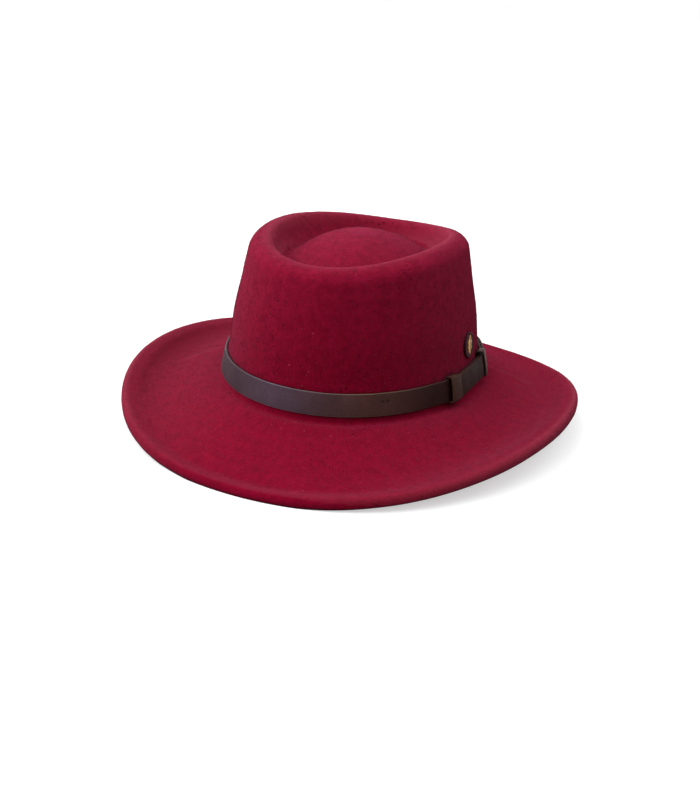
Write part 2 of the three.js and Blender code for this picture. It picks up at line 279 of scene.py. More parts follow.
def refine(rows, spacing):
    """Smooth rows through the given rows, about one spacing apart."""
    steps = np.linalg.norm(np.diff(rows, axis=0), axis=2).mean(axis=1)
    at = np.concatenate([[0], np.cumsum(steps)])
    slopes = np.gradient(rows, at, axis=0)
    fine = [rows[:1]]
    for k, length in enumerate(steps):
        count = max(2, round(length / spacing))
        t = (np.arange(1, count + 1) / count)[:, None, None]
        fine.append(
            (2 * t ** 3 - 3 * t ** 2 + 1) * rows[k] + (t ** 3 - 2 * t ** 2 + t) * length * slopes[k]
            + (3 * t ** 2 - 2 * t ** 3) * rows[k + 1] + (t ** 3 - t ** 2) * length * slopes[k + 1])
    return np.concatenate(fine)


def rest_matrix():
    """Tips the hat until the front and back of its lip are level, and centres it over the origin."""
    ends = lip_points(*LIP_SECTIONS[-1], np.radians([-90.0, 90.0]))
    run, rise = ends[1, 1] - ends[0, 1], ends[1, 2] - ends[0, 2]
    tip = Matrix.Rotation(-math.atan2(rise, run), 4, "X")
    front, back = tip @ Vector(ends[0]), tip @ Vector(ends[1])
    return Matrix.Translation((0, -(front.y + back.y) / 2, -front.z - PRESSED)) @ tip


REST = rest_matrix()


def settle(points):
    """Millimetres in the hat's own directions become metres in the frame."""
    points = np.asarray(points, float)
    rest = np.array(REST)
    return (points @ rest[:3, :3].T + rest[:3, 3]) * MM


# Meshes


def mesh_object(name, points, faces, material, smooth=True):
    mesh = bpy.data.meshes.new(name)
    mesh.from_pydata([tuple(p) for p in np.asarray(points)], [], faces)
    mesh.validate()
    mesh.update()
    if smooth:
        mesh.shade_smooth()
    mesh.materials.append(material)
    obj = bpy.data.objects.new(name, mesh)
    bpy.context.scene.collection.objects.link(obj)
    return obj


def loop_faces(rows, columns, closed):
    """Quads between neighbouring loops of points; the last loop joins the first if closed."""
    faces = []
    for row in range(rows if closed else rows - 1):
        here, there = row * columns, (row + 1) % rows * columns
        for i in range(columns):
            j = (i + 1) % columns
            faces.append((here + i, there + i, there + j, here + j))
    return faces


def loop_object(name, loops, material, centres=None):
    """A closed body through loops of points, with fans about two centres or joined into a ring."""
    rows, columns = loops.shape[:2]
    points = loops.reshape(-1, 3)
    faces = loop_faces(rows, columns, centres is None)
    if centres is not None:
        first, last = len(points), (rows - 1) * columns
        points = np.concatenate([points, centres])
        for i in range(columns):
            j = (i + 1) % columns
            faces.append((first, i, j))
            faces.append((first + 1, last + j, last + i))
    return mesh_object(name, points, faces, material)


def paint(obj, finishes, kinds):
    """Gives a piece further finishes, and says which of its finishes each face has, counted from 0."""
    for finish in finishes:
        obj.data.materials.append(finish)
    obj.data.polygons.foreach_set("material_index", np.asarray(kinds, np.int32))


def dress(obj, node):
    """The piece rides on the frame in place of its solid."""
    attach(obj, "root")
    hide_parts(node)
    return obj


# Materials


def fill(tree, socket, value):
    """Links a socket to another one, or sets its value."""
    if isinstance(value, bpy.types.NodeSocket):
        tree.links.new(value, socket)
    else:
        socket.default_value = value


def add_node(tree, kind, inputs=None, **fields):
    node = tree.nodes.new(kind)
    for field, value in fields.items():
        setattr(node, field, value)
    for key, value in (inputs or {}).items():
        fill(tree, node.inputs[key], value)
    return node


def tint(colour, *factors):
    """The colour times one factor, or times one each for red, green and blue."""
    return tuple(min(1, part * factor) for part, factor in zip(colour, factors * (3 // len(factors))))


class Finish:
    """A node material with short ways to add textures. Sizes and depths are in metres."""

    def __init__(self, name):
        self.material = bpy.data.materials.new(name)
        self.material.use_nodes = True
        self.tree = self.material.node_tree
        self.shader = self.tree.nodes["Principled BSDF"]
        self.place = self.add("ShaderNodeTexCoord").outputs["Object"]

    def add(self, kind, inputs=None, **fields):
        return add_node(self.tree, kind, inputs, **fields)

    def noise(self, size, detail=2.0, roughness=0.5, distortion=0.0, place=None):
        """Noise with spots of about this size."""
        inputs = {"Vector": place or self.place, "Scale": 1 / size, "Detail": detail,
                  "Roughness": roughness, "Distortion": distortion}
        return self.add("ShaderNodeTexNoise", inputs).outputs["Fac"]

    def cells(self, size, randomness=1.0):
        """Distance to the nearest of scattered points, about one size apart."""
        inputs = {"Vector": self.place, "Scale": 1 / size, "Randomness": randomness}
        return self.add("ShaderNodeTexVoronoi", inputs).outputs["Distance"]

    def stretch(self, scale, turn=(0, 0, 0)):
        inputs = {"Vector": self.place, "Scale": scale, "Rotation": turn}
        return self.add("ShaderNodeMapping", inputs).outputs["Vector"]

    def span(self, value, low, high, to_low=0.0, to_high=1.0):
        """The value brought from one range to another, and kept inside it."""
        inputs = {"Value": value, "From Min": low, "From Max": high, "To Min": to_low, "To Max": to_high}
        return self.add("ShaderNodeMapRange", inputs).outputs["Result"]

    def math(self, operation, a, b):
        return self.add("ShaderNodeMath", {0: a, 1: b}, operation=operation).outputs[0]

    def coat(self, colour, *coats):
        """The colour with others laid over it in turn, each given as (share, colour)."""
        for share, over in coats:
            node = self.add("ShaderNodeMix", {"Factor": share}, data_type="RGBA")
            # Inputs 6 and 7 and output 2 are the node's colours.
            for socket, value in ((node.inputs[6], colour), (node.inputs[7], over)):
                fill(self.tree, socket, (*value, 1) if isinstance(value, tuple) else value)
            colour = node.outputs[2]
        return colour

    def bump(self, height, depth, strength=1.0, under=None):
        inputs = {"Height": height, "Distance": depth, "Strength": strength}
        if under is not None:
            inputs["Normal"] = under
        return self.add("ShaderNodeBump", inputs).outputs["Normal"]

    def feed(self, **sockets):
        """Links or sets the shader's sockets, named with underscores."""
        for key, value in sockets.items():
            fill(self.tree, self.shader.inputs[key.replace("_", " ")], value)


def felt_finish(colours):
    """Wool felt: mottled dye, matted fibres, pale and dark specks, painted light and shade, and a nap that
    shines at a low angle.
    """
    felt = Finish("hat_felt")
    base = tuple(colours.felt)
    parts = felt.add("ShaderNodeSeparateXYZ", {"Vector": felt.place})
    height = parts.outputs["Z"]
    # A painted sheen lies on the left side and fades out toward the middle.
    painted_sheen_fade = felt.span(parts.outputs["X"], -0.15, -0.03)
    clouds = felt.noise(0.05, detail=3)
    clumps = felt.noise(0.03, detail=1)
    mottle = felt.noise(0.0055, detail=5, roughness=0.65)
    fibres = felt.noise(0.0011, detail=3, roughness=0.7, distortion=1.5)
    strands = felt.noise(0.0016, detail=3, distortion=3, place=felt.stretch((1, 3.2, 1.6), (0.4, 0.2, 0.9)))
    pills = felt.math("SUBTRACT", felt.span(clumps, 0.45, 0.65, 0.02, 0.12), felt.cells(0.0055))
    flecks = felt.math("SUBTRACT", felt.span(clumps, 0.35, 0.6, 0.17, 0.08), felt.cells(0.0045, 0.9))
    hollow = felt.add("ShaderNodeAmbientOcclusion", {"Distance": 0.0042}, samples=6).outputs["AO"]
    facing = felt.add("ShaderNodeLayerWeight", {"Blend": 0.5}).outputs["Facing"]
    wear_and_highlight = felt.add("ShaderNodeAttribute", attribute_name="wear_and_highlight").outputs["Fac"]
    # Painted light by height: painted shade low on the crown's wall, and a lighter, pinker painted highlight
    # and sheen toward its top.
    crown = felt.coat(tint(base, 0.9), (felt.span(height, 0.045, 0.125), tint(base, 1.24, 4, 1.7)))
    # Pale fibres, greyer on the left where the painted sheen lies.
    pale = felt.coat(tint(base, 1.5, 22, 3.4), (painted_sheen_fade, tint(base, 1.7, 2.5, 2)))
    colour = felt.coat(
        base,
        (felt.span(height, 0.02, 0.045), crown),
        # Uneven dye, mottling and pale fibres, a painted sheen that makes the left side paler, and dark
        # strands.
        (felt.span(clouds, 0.3, 0.7, 0, 0.16), tint(base, 0.6)),
        (felt.span(mottle, 0.38, 0.68, 0, 0.5), tint(base, 0.5)),
        (felt.span(fibres, 0.54, 0.7, 0, 0.5), pale),
        (felt.math("MULTIPLY", felt.math("SUBTRACT", 1, painted_sheen_fade), 0.3), tint(base, 0.9, 10, 1.7)),
        (felt.span(strands, 0.44, 0.28, 0, 0.65), tint(base, 0.36)),
        # Painted shade in the hollows and where the nap is seen edge on.
        (felt.span(hollow, 0.4, 0.9, 0.9, 0), tint(base, 0.12)),
        (felt.span(facing, 0.86, 0.98, 0, 0.5), tint(base, 0.3)),
        # Worn nap with a painted highlight along the edges and folds, pale pills and dark flecks.
        (felt.math("MULTIPLY", wear_and_highlight, felt.span(fibres, 0.35, 0.65, 0.4, 0.85)), tint(base, 1.25, 18, 2.8)),
        (felt.span(pills, 0, 0.06, 0, 0.42), tint(base, 1.7, 36, 6)),
        (felt.span(flecks, 0, 0.06, 0, 0.85), tint(base, 0.2)),
    )
    normal = felt.bump(felt.math("ADD", fibres, strands), 0.0005, 0.7)
    normal = felt.bump(mottle, 0.0009, 0.4, normal)
    felt.feed(Base_Color=colour, Roughness=0.95, Normal=normal, Specular_IOR_Level=0)
    felt.feed(Sheen_Weight=0.075, Sheen_Roughness=0.45, Sheen_Tint=(*colours.felt_sheen, 1))
    return felt.material


def fibre_finish(name, base, shade):
    """Dyed wool fibre, streaked along its length."""
    fibre = Finish(name)
    base = tuple(base)
    streak = fibre.noise(0.0007, detail=2)
    colour = fibre.coat(tint(base, 0.8 * shade), (fibre.span(streak, 0.3, 0.7), tint(base, 1.2 * shade)))
    fibre.feed(Base_Color=colour, Roughness=0.85, Normal=fibre.bump(streak, 0.00003, 0.4))
    fibre.feed(Sheen_Weight=0.03, Specular_IOR_Level=0.03)
    return fibre.material


def thread_finish(colours):
    """Waxed linen thread with its twist."""
    thread = Finish("thread")
    base = tuple(colours.thread)
    twist = thread.noise(0.0004, detail=1, place=thread.stretch((1, 1, 3), (0.6, 0, 0.8)))
    colour = thread.coat(tint(base, 0.6), (thread.span(twist, 0.35, 0.65), tint(base, 1.3)))
    thread.feed(Base_Color=colour, Roughness=0.8, Specular_IOR_Level=0.2,
                Normal=thread.bump(twist, 0.0001, 0.6))
    return thread.material


def leather_finish(name, base, rough=0.58):
    """Drummed leather: fine pores and creases, dark stains, painted light across the hat, lighter wear on
    high spots.
    """
    leather = Finish(name)
    base = tuple(base)
    grain = leather.cells(0.0008)
    pores = leather.noise(0.0004, detail=2)
    creases = leather.noise(0.0035, detail=3, distortion=2.5, place=leather.stretch((1, 1, 2.4)))
    stain = leather.noise(0.018, detail=4, roughness=0.6)
    wear = leather.noise(0.004, detail=5, roughness=0.7)
    across = leather.add("ShaderNodeSeparateXYZ", {"Vector": leather.place}).outputs["X"]
    colour = leather.coat(
        tint(base, 1, 1.15, 1.3),
        # Painted light that changes from the wearer's right to the left: a paler, cooler painted sheen toward
        # the wearer's right, lighter in the middle, and painted shade at the wearer's left.
        (leather.span(across, -0.044, -0.012), tint(base, 1.45, 1.9, 2.35)),
        (leather.span(across, -0.005, 0.045), tint(base, 1.65, 1.6, 1.1)),
        (leather.span(across, 0.055, 0.075), tint(base, 0.52, 0.37, 0.27)),
        # Dark stains and pores, and lighter wear.
        (leather.span(stain, 0.3, 0.7, 0, 0.32), (0, 0, 0)),
        (leather.span(grain, 0.1, 0.6, 0.3, 0), tint(base, 0.5)),
        (leather.span(wear, 0.55, 0.8, 0, 0.35), tint(base, 1.6)),
    )
    normal = leather.bump(grain, 0.00012, 0.5)
    normal = leather.bump(pores, 0.00005, 0.5, normal)
    normal = leather.bump(creases, 0.0003, 0.3, normal)
    roughness = leather.span(wear, 0.3, 0.7, rough - 0.06, rough + 0.1)
    leather.feed(Base_Color=colour, Roughness=roughness, Normal=normal, Specular_IOR_Level=0.06)
    return leather.material


def brass_finish(name, base, rough, metal=1.0):
    """Brass, rubbed bright on its high spots and tarnished between them."""
    brass = Finish(name)
    base = tuple(base)
    tarnish = brass.noise(0.0022, detail=4, roughness=0.65)
    rub = brass.noise(0.0005, detail=2)
    colour = brass.coat(base, (brass.span(tarnish, 0.42, 0.7, 0, 0.65), tint(base, 0.5, 0.42, 0.35)))
    roughness = brass.span(tarnish, 0.3, 0.7, rough - 0.06, rough + 0.16)
    brass.feed(Base_Color=colour, Metallic=metal, Specular_IOR_Level=0.5 * metal, Roughness=roughness,
               Normal=brass.bump(rub, 0.00003, 0.3))
    return brass.material


def enamel_finish(colours):
    """Dark hard enamel with a glossy, slightly wavy top and fine scratches."""
    enamel = Finish("enamel")
    base = tuple(colours.enamel)
    flow = enamel.noise(0.004, detail=1)
    scratch = enamel.noise(0.0006, detail=3, place=enamel.stretch((1, 6, 1), (0.6, 0, 0.5)))
    colour = enamel.coat(tint(base, 0.7), (enamel.span(flow, 0.3, 0.7), tint(base, 1.6)))
    roughness = enamel.span(scratch, 0.55, 0.75, 0.2, 0.4)
    enamel.feed(Base_Color=colour, Roughness=roughness, Normal=enamel.bump(flow, 0.0004, 0.6),
                Specular_IOR_Level=0.004)
    return enamel.material


# Pieces

# Places round the hat are in degrees from the wearer's left, positive to the back.
# Keepers: place of the rear edge, and how far the top stands above the strap and leans to the front, in mm.
KEEPERS = {
    "keeper_front": dict(rear=-14.4, proud=0.5, lean=0),
    "keeper_rear": dict(rear=15.8, proud=1.9, lean=1.6),
}
# How far the middle of a keeper bulges, in mm.
KEEPER_BULGE = 0.25
# Degrees beside a keeper over which the strap comes back to the felt.
KEEPER_EASE = 9
# The lap: where its tail starts and the end under it lies, and where the tail comes down past that end.
LAP = dict(tail=-17, under=33, slack=1, slope=14)
# The strap's lower edge, as a share of the wall's climb, and how it lifts at the left side: in mm, and
# between which degrees.
STRAP_LOW = -0.016
LIFT = dict(amount=1.6, start=-22, full=8, hold=110, end=250)
# Air between the felt and the leather, and between two layers of leather, in mm.
GAP = 0.3
ROOM = 0.25
# Round corners: radius in mm, steps round one, and flats between two. A keeper's is that of its inside.
STRAP_CORNER = (0.38, 4, 8)
KEEPER_CORNER = (0.35, 6, 8)
STRAP_STEPS = 480
# How far the strap's edge waves and ripples, its middle swells and its face is dented, in mm, and how long
# those are, in degrees round the hat, with the height of a dent in mm.
STRAP_GIVE = dict(wave=0.16, wave_long=9, ripple=0.08, ripple_long=3, swell=0.16,
                  dent=0.07, dent_long=2.2, dent_tall=4)
# How much of the strap's height its cut edge takes up, in mm.
EDGE_BAND = 0.34
# Stitches: degrees round the hat, height on the strap, how far out from the felt and length, in mm, and
# lean in degrees.
STRAP_STITCHES = ((309.4, 9.2, 1.85, 3.6, 4),)
KEEPER_STITCHES = ((-15.6, 12.4, 4.9, 2.2, 80), (10.6, 3.4, 5.2, 1.8, 75))
# The thread's radius, how high it arches and how deep it starts in the leather, in mm, and its twist.
THREAD = dict(radius=0.27, arch=0.5, sunk=0.35, twist=0.12, turns=14, steps=13, facets=10)
# A stitch hole's pressed rim from its middle outward: radius and height, in mm.
HOLE_PROFILE = ((0.1, -0.1), (0.4, -0.02), (0.6, 0.08), (0.72, 0.05), (0.76, -0.12))
HOLE_FACETS = 18

# The badge: place in degrees, then heights above the felt and lengths, in mm.
BADGE = dict(angle=-0.6, height=27.8, floor=0.5, rim_wide=0.8, rim_top=1.5, post=0.6, disc=4, disc_thick=0.8)
ENAMEL = dict(low=0.8, top=1.2)
# The leaf's size, top, lean in degrees, lobes and veins; its back lies in the plate, at a share of the floor.
LEAF = dict(long=13.2, wide=7, top=1.7, back=0.6, lean=-8, lobe=7.6, notch=0.34,
            vein=0.12, vein_rate=3.6, vein_lean=1.2)
# The leaf from its wall's top to its groove: share of its outline, and height from its top, in mm.
LEAF_STEPS = ((1, -0.45), (0.9, -0.2), (0.66, 0), (0.42, 0.05), (0.2, -0.05), (0.07, -0.4))
# The enamel from the leaf to the rim: share of the way, and how far it lies below the enamel's top, in mm.
ENAMEL_DIPS = ((0.02, 0.06), (0.1, 0.12), (0.35, 0.17), (0.65, 0.17), (0.9, 0.1), (0.98, 0))
PLATE_FACETS, LEAF_FACETS, ENAMEL_FACETS = 64, 56, 72

# The brim's soft folds: where each leaves the crown and how far it turns on its way out, in degrees,
# and in mm its ends, height and width.
FOLDS = (
    dict(turn=181, bend=14, near=90, far=122, high=1.7, wide=8),
    dict(turn=37, bend=-8, near=94, far=128, high=1.6, wide=7),
)
# Shares of a fold's way out where it starts, is full, starts to fade and ends.
FOLD_SHARES = (-0.1, 0.3, 0.6, 1.2)
# Worn nap and painted highlight along an oval: how far out of it the paler line lies, and its width, in mm;
# where round the hat it is palest, in degrees, and its least share of that elsewhere.
WEAR_AND_HIGHLIGHT_LINES = (
    dict(ring="edge", out=-1.3, wide=2.2, turn=8, least=0),
    dict(ring="edge", out=0.3, wide=1.8, turn=-18, least=0),
    dict(ring="crest", out=-2, wide=4.5, turn=8, least=0.4),
    dict(ring="crest", out=-12, wide=7, turn=68, least=0),
)
# The height in mm at which a fold gets its full painted highlight.
FOLD_HIGHLIGHT_HEIGHT = 5
# Rows of the felt's outer face, noted when it is built; the nap lies on them.
FELT_ROWS = {}
# Patches of nap, between shares of the felt's rows from the dome's middle to the lip.
NAP_PATCHES = {"nap_top": (0.02, 0.42), "nap_wall": (0.42, 0.62), "nap_brim": (0.7, 0.995)}
# Fibres: length and radius in mm, lift as a share of the length, how far they stray from the hat's round in
# radians, their curl, and the share of coarse ones with how much longer and thicker those are.
FIBRES = dict(length=(0.5, 1.4), radius=(0.022, 0.04), lift=(0.05, 0.28), stray=1.1, curl=0.25,
              coarse=0.05, longer=2.8, thicker=2.3)
FIBRE_FACES = ((0, 2, 1), (0, 3, 2), (0, 1, 3), (4, 1, 2), (4, 2, 3), (4, 3, 1))


def wall_frame(climb, angle, tuck=None):
    """Origin and directions along the strap, up the wall and out of it, in mm, for each angle."""
    step, rise = math.radians(0.5), 0.02
    origin = wall_points(climb, angle, tuck)
    along = unit(wall_points(climb, angle + step, tuck) - wall_points(climb, angle - step, tuck))
    up = unit(wall_points(climb + rise, angle, tuck) - origin)
    return origin, along, up, unit(np.cross(along, up))


def strap_frame(turn):
    """The wall's directions at the strap's lower edge, by degrees round the hat, with its lift."""
    origin, along, up, out = wall_frame(STRAP_LOW, np.radians(turn), TUCK["deep"])
    place = np.mod(turn - LIFT["start"], 360) + LIFT["start"]
    lift = smooth_step(place, LIFT["start"], LIFT["full"])
    lift = lift * (1 - smooth_step(place, LIFT["hold"], LIFT["end"]))
    return origin + up * (LIFT["amount"] * lift)[..., None], along, up, out


def keeper_turn(length):
    """Degrees round the hat that a length in mm along a keeper takes up."""
    return np.degrees(length / RINGS["foot"]["long"])


def stand_off(turn, sizes):
    """How far the strap's inner layer stands off the felt, in mm."""
    half = keeper_turn(sizes.keeper_top / MM / 2)
    apart = np.stack([np.abs(turn - keeper["rear"] + half) % 360 for keeper in KEEPERS.values()])
    beside = np.minimum(apart, 360 - apart).min(axis=0) - half
    return GAP + (1 - smooth_step(beside, 0, KEEPER_EASE)) * (sizes.keeper_thick / MM + ROOM)


def rounded_box(low, high, left, right, radius, steps, flats):
    """A rectangle with round corners as (across, up) points, turning left; its upright sides have flats."""
    corners = ((right - radius, low + radius, -90), (right - radius, high - radius, 0),
               (left + radius, high - radius, 90), (left + radius, low + radius, 180))
    points = []
    for across, up, start in corners:
        for turn in np.radians(start + np.linspace(0, 90, steps + 1)):
            points.append((across + radius * math.cos(turn), up + radius * math.sin(turn)))
        if start in (-90, 90):
            bottom, top = points[-1], (points[-1][0], low + radius if start == 90 else high - radius)
            for share in np.arange(1, flats) / flats:
                points.append((bottom[0], bottom[1] + (top[1] - bottom[1]) * share))
    return np.array(points)


def wear_and_highlight_of_nap(points):
    """How pale each point is from worn nap and painted highlight, on the edge of the crown and the fold of
    the lip.
    """
    pale = np.zeros(points.shape[:-1])
    for line in WEAR_AND_HIGHLIGHT_LINES:
        ring = RINGS[line["ring"]]
        x = np.abs(points[..., 0]) / ring["wide"]
        y = np.abs(points[..., 1] - ring["shift"]) / ring["long"]
        size = (ring["wide"] + ring["long"]) / 2
        out = ((x ** ring["power"] + y ** ring["power"]) ** (1 / ring["power"]) - 1) * size
        near = np.exp(-((out - line["out"]) / line["wide"]) ** 2)
        turn = np.arctan2(points[..., 1], points[..., 0]) - math.radians(line["turn"])
        near *= line["least"] + (1 - line["least"]) * np.cos(turn) ** 2
        pale = np.maximum(pale, near * (points[..., 2] > ring["height"] - RIM_RADIUS))
    return pale


def brim_folds(points):
    """Height of the brim's soft folds in mm, where they leave the crown at each side."""
    turn = np.degrees(np.arctan2(points[..., 1], points[..., 0]))
    reach = np.hypot(points[..., 0], points[..., 1])
    height = np.zeros(turn.shape)
    start, full, fading, end = FOLD_SHARES
    for fold in FOLDS:
        share = (reach - fold["near"]) / (fold["far"] - fold["near"])
        line = fold["turn"] + fold["bend"] * share
        away = (np.mod(turn - line + 180, 360) - 180) * np.radians(reach)
        fade = smooth_step(share, start, full) * (1 - smooth_step(share, fading, end))
        height += fold["high"] * fade * np.exp(-(away / fold["wide"]) ** 2)
    return height * (points[..., 2] < 0)


def felt_object(sizes, colours):
    """Crown and brim in one hollow piece: the outer face with its lumps and folds, and the inner one."""
    angle = np.linspace(0, FULL_TURN, sizes.around, endpoint=False)
    outer = refine(felt_sections(angle), sizes.rows / MM)
    round_hat = np.roll(outer, -1, axis=1) - np.roll(outer, 1, axis=1)
    normal = unit(np.cross(np.gradient(outer, axis=0), round_hat))
    height = outer[..., 2]
    held = smooth_step(height, *HELD_HEIGHTS[:2]) * (1 - smooth_step(height, *HELD_HEIGHTS[2:]))
    folds = brim_folds(outer)
    # Paler nap: worn nap and painted highlight along the edges, and painted highlight along the folds.
    wear_and_highlight = np.maximum(wear_and_highlight_of_nap(outer), folds / FOLD_HIGHLIGHT_HEIGHT)
    outer = outer + normal * folds[..., None]
    lumps = np.array([[sum(share * noise.noise(Vector(point) / size) for size, share in LUMPS)
                       for point in row] for row in outer])
    outer = outer + normal * (lumps * sizes.unevenness / MM * (1 - held))[..., None]
    inner = (outer - normal * sizes.felt / MM)[::-2]
    FELT_ROWS["outer"] = len(outer)
    tips = [(0, RINGS["dome"]["shift"], top) for top in (DOME_TOP, DOME_TOP - sizes.felt / MM)]
    loops = settle(np.concatenate([outer, inner]))
    loops[..., 2] = np.maximum(loops[..., 2], 0)
    felt = loop_object("felt_body_felt", loops, felt_finish(colours), settle(tips))
    wear_and_highlight_share = np.zeros(len(felt.data.vertices), np.float32)
    wear_and_highlight_share[:wear_and_highlight.size] = wear_and_highlight.ravel()
    felt.data.attributes.new("wear_and_highlight", "FLOAT", "POINT").data.foreach_set("value", wear_and_highlight_share)
    return felt


def strap_object(sizes, colours):
    """The strap from the free end of its tail, once round the crown, to the end under the lap."""
    thick, tall = sizes.strap_thick / MM, sizes.strap_tall / MM
    outline = rounded_box(0, tall, 0, thick, *STRAP_CORNER)
    height, face = outline[:, 1], outline[:, 0] > thick / 2
    turn = np.linspace(LAP["tail"], 360 + LAP["under"], STRAP_STEPS)
    past = LAP["under"] + LAP["slack"]
    lapped = 1 - smooth_step(turn, past, past + LAP["slope"])
    off = stand_off(turn, sizes) + lapped * (thick + ROOM)
    origin, _, upward, out = strap_frame(turn)
    give = STRAP_GIVE
    swell = give["swell"] * np.sin(np.pi * np.clip(height / tall, 0, 1)) * face
    loops = []
    for k, degrees in enumerate(turn):
        wave = (give["wave"] * noise.noise(Vector((degrees / give["wave_long"], 0, 3)))
                + give["ripple"] * noise.noise(Vector((degrees / give["ripple_long"], 5, 0))))
        dent = [give["dent"] * noise.noise(Vector((degrees / give["dent_long"], up / give["dent_tall"], 9)))
                for up in height]
        rise = height + wave * (height / tall) ** 2
        across = off[k] + outline[:, 0] + swell + np.where(face, dent, 0)
        loops.append(origin[k] + upward[k] * rise[:, None] + out[k] * across[:, None])
    loops = np.array(loops)
    ends = loops[[0, -1]].mean(axis=1)
    body = leather_finish("strap_leather", colours.leather)
    strap = loop_object("hat_band_leather", settle(loops), body, settle(ends))
    # The faces of the two edges come round with every loop, and those of the two ends come last.
    middle = (np.roll(outline, -1, axis=0) / 2 + outline / 2)[:, 1]
    trimmed = (middle < EDGE_BAND) | (middle > tall - EDGE_BAND)
    kinds = np.ones(len(strap.data.polygons))
    sides = (len(loops) - 1) * len(outline)
    kinds[:sides] = np.tile(trimmed, len(loops) - 1)
    paint(strap, [leather_finish("strap_edge", colours.leather_edge, 0.55)], kinds)
    return strap


def keeper_outline():
    """A keeper's cut as shares of its thickness and width: rounded in front and thinned to the rear."""
    along = np.linspace(-0.5, 0.5, 10)
    skived = 0.5 - 0.62 * smooth_step(along, -0.1, 0.5)
    front, rear = [(-0.2, -0.515), (0.25, -0.515)], [(-0.2, 0.51), (-0.42, 0.51)]
    inner = [(-0.5, a) for a in along[::-1]]
    outer = [(d, a) for d, a in zip(skived, along)]
    outer[0] = (0.44, along[0] + 0.004)
    return np.array(front + outer + rear + inner)


def keeper_object(name, sizes, colours):
    """A leather loop round the strap's two layers; its top stands a little proud and leans to the front."""
    thick, tall = sizes.keeper_thick / MM, sizes.strap_tall / MM
    half = thick / 2
    far = GAP + 2 * thick + 2 * sizes.strap_thick / MM + 3 * ROOM
    radius, *steps = KEEPER_CORNER
    path = rounded_box(-ROOM - thick, tall + ROOM + thick, GAP, far, thick + radius, *steps)
    middle = rounded_box(-ROOM - half, tall + ROOM + half, GAP + half, far - half, half + radius, *steps)
    outline = keeper_outline()
    foot, top = sizes.keeper_foot / MM, sizes.keeper_top / MM
    keeper = KEEPERS[name]
    loops = []
    for edge, core in zip(path, middle):
        share = np.clip(core[1] / tall, 0, 1)
        wide = keeper_turn(foot + (top - foot) * share)
        top_share = smooth_step(core[1], tall - 3, tall + 1)
        forward = keeper_turn(keeper["lean"]) * top_share ** 2
        origin, _, up, out = strap_frame(keeper["rear"] - forward - wide * (0.5 - outline[:, 1]))
        proud = keeper["proud"] * top_share
        bulge = KEEPER_BULGE * np.sin(np.pi * share) * (core[0] > far / 2)
        across = core[0] + bulge + (edge[0] - core[0]) * 2 * outline[:, 0]
        rise = core[1] + proud + (edge[1] - core[1]) * 2 * outline[:, 0]
        loops.append(origin + up * rise[:, None] + out * across[:, None])
    leather = leather_finish(name, colours.leather_keeper, 0.5)
    return loop_object(name + "_leather", settle(np.array(loops)), leather)


def strap_place(degrees, height, proud):
    """Origin on the strap's outer face, with the directions along it, up it and out of it, in mm."""
    origin, along, up, out = (part[0] for part in strap_frame(np.array([degrees])))
    return origin + up * height + out * proud, along, up, out


def stitch_object(name, places, colours):
    """Tack stitches: each a short thread that dips into two holes with a pressed rim round each hole."""
    points, faces, kinds = [], [], []
    for degrees, height, proud, span, lean in places:
        origin, along, up, out = strap_place(degrees, height, proud)
        run = along * math.cos(math.radians(lean)) + up * math.sin(math.radians(lean))
        side = np.cross(out, run)
        rings = []
        for t in np.linspace(-1, 1, THREAD["steps"]):
            arch = THREAD["arch"] * math.sqrt(max(0, 1 - t ** 4)) - THREAD["sunk"]
            centre = origin + run * (span / 2 * t) + out * arch
            ring = []
            for turn in np.linspace(0, FULL_TURN, THREAD["facets"], endpoint=False):
                radius = THREAD["radius"] * (1 + THREAD["twist"] * math.cos(2 * turn + THREAD["turns"] * t))
                ring.append(centre + radius * (math.cos(turn) * side + math.sin(turn) * out))
            rings.append(ring)
        add_loops(points, faces, kinds, rings, 0, capped=True)
        turns = np.linspace(0, FULL_TURN, HOLE_FACETS, endpoint=False)[:, None]
        for end in (-1, 1):
            hub = origin + run * (span / 2 * end)
            rings = [hub + out * rise + reach * (np.cos(turns) * run + np.sin(turns) * side)
                     for reach, rise in HOLE_PROFILE]
            add_loops(points, faces, kinds, rings, 1, capped=True)
    stitches = mesh_object(name, settle(np.array(points)), faces, thread_finish(colours))
    # The rims round the holes are near black: painted shade in the stitch holes.
    paint(stitches, [leather_finish("hole_rim", tint(colours.leather, 0.12), 0.9)], kinds)
    return stitches


def add_loops(points, faces, kinds, rings, kind, capped):
    """Adds a tube through rings of points to lists of points and faces; uncapped, it closes on itself."""
    start, rows, columns = len(points), len(rings), len(rings[0])
    for ring in rings:
        points.extend(ring)
    fresh = [tuple(start + v for v in face) for face in loop_faces(rows, columns, not capped)]
    if capped:
        fresh.append(tuple(start + i for i in range(columns)))
        fresh.append(tuple(start + (rows - 1) * columns + i for i in reversed(range(columns))))
    faces.extend(fresh)
    kinds.extend([kind] * len(fresh))


# Badge


def badge_matrix():
    """The badge's own directions in mm: x along the strap, y up the wall, z out of the felt."""
    foot, crest = RINGS["foot"], RINGS["crest"]
    share = (BADGE["height"] - ring_height(foot, 0)) / (ring_height(crest, 0) - RIM_RADIUS)
    angle = np.radians([BADGE["angle"]])
    origin, along, up, out = (part[0] for part in wall_frame(share, angle))
    return Matrix((along, up, out)).transposed().to_4x4(), origin


def on_badge(points):
    turn, origin = badge_matrix()
    return settle(np.asarray(points) @ np.array(turn)[:3, :3].T + origin)


